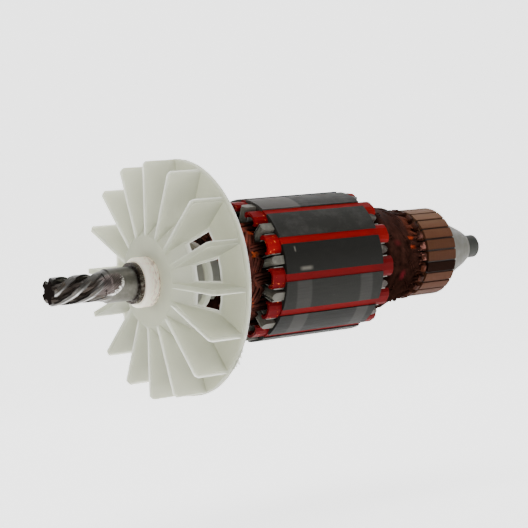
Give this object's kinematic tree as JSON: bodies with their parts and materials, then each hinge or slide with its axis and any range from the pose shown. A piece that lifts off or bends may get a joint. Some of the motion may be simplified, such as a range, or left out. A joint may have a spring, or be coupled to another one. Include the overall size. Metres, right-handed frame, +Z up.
{
  "type": "motor armature",
  "caption": "Motor armature: shaft with a helical pinion, bladed cooling fan, wound slotted core with red slot wedges, copper commutator and a bearing seat at each end",
  "frame": {"origin": "centre of the drive end bearing seat, on the shaft axis", "axes": "+X along the shaft from the pinion to the commutator, +Z up, +Y completes a right-handed frame; the shaft axis is horizontal"},
  "size_m": [0.1298, 0.0562, 0.0562],
  "materials": {
    "shaft_steel": "ground and milled steel, brown film in the tooth gaps",
    "white_sleeve": "moulded, faint pinkish white with brown marks",
    "fan_nylon": "natural nylon, slightly translucent",
    "core_steel": "ground laminations, dark with light bands and scratches",
    "liner_paper": "slot paper",
    "grey_insulation": "grey-white insulation, dulled",
    "wedge_red": "bright red strip, slight gloss",
    "coil_enamel": "dark maroon enamelled wire under varnish",
    "lead_copper": "enamelled copper wire ends",
    "bar_copper": "worn tan copper with brush marks",
    "hub_moulding": "dark moulding compound",
    "cone_plastic": "dull white moulding"
  },
  "bodies": {
    "root": {"shaft": "shaft_steel", "front_shaft_sleeve": "white_sleeve", "rear_shaft_sleeve": "grey_insulation", "cooling_fan": "fan_nylon", "lamination_core": "core_steel", "slot_liners": "liner_paper", "front_end_insulator": "grey_insulation", "rear_end_insulator": "grey_insulation", "commutator_hub": "hub_moulding", "coil_leads": "lead_copper", "rear_insulating_cone": "cone_plastic", "slot_wedge_01": "wedge_red", "slot_wedge_02": "wedge_red", "slot_wedge_03": "wedge_red", "slot_wedge_04": "wedge_red", "slot_wedge_05": "wedge_red", "slot_wedge_06": "wedge_red", "slot_wedge_07": "wedge_red", "slot_wedge_08": "wedge_red", "slot_wedge_09": "wedge_red", "slot_wedge_10": "wedge_red", "slot_wedge_11": "wedge_red", "slot_wedge_12": "wedge_red", "coil_01": "coil_enamel", "coil_02": "coil_enamel", "coil_03": "coil_enamel", "coil_04": "coil_enamel", "coil_05": "coil_enamel", "coil_06": "coil_enamel", "coil_07": "coil_enamel", "coil_08": "coil_enamel", "coil_09": "coil_enamel", "coil_10": "coil_enamel", "coil_11": "coil_enamel", "coil_12": "coil_enamel", "commutator_bar_01": "bar_copper", "commutator_bar_02": "bar_copper", "commutator_bar_03": "bar_copper", "commutator_bar_04": "bar_copper", "commutator_bar_05": "bar_copper", "commutator_bar_06": "bar_copper", "commutator_bar_07": "bar_copper", "commutator_bar_08": "bar_copper", "commutator_bar_09": "bar_copper", "commutator_bar_10": "bar_copper", "commutator_bar_11": "bar_copper", "commutator_bar_12": "bar_copper", "commutator_bar_13": "bar_copper", "commutator_bar_14": "bar_copper", "commutator_bar_15": "bar_copper", "commutator_bar_16": "bar_copper", "commutator_bar_17": "bar_copper", "commutator_bar_18": "bar_copper", "commutator_bar_19": "bar_copper", "commutator_bar_20": "bar_copper", "commutator_bar_21": "bar_copper", "commutator_bar_22": "bar_copper", "commutator_bar_23": "bar_copper", "commutator_bar_24": "bar_copper"}
  },
  "joints": []
}
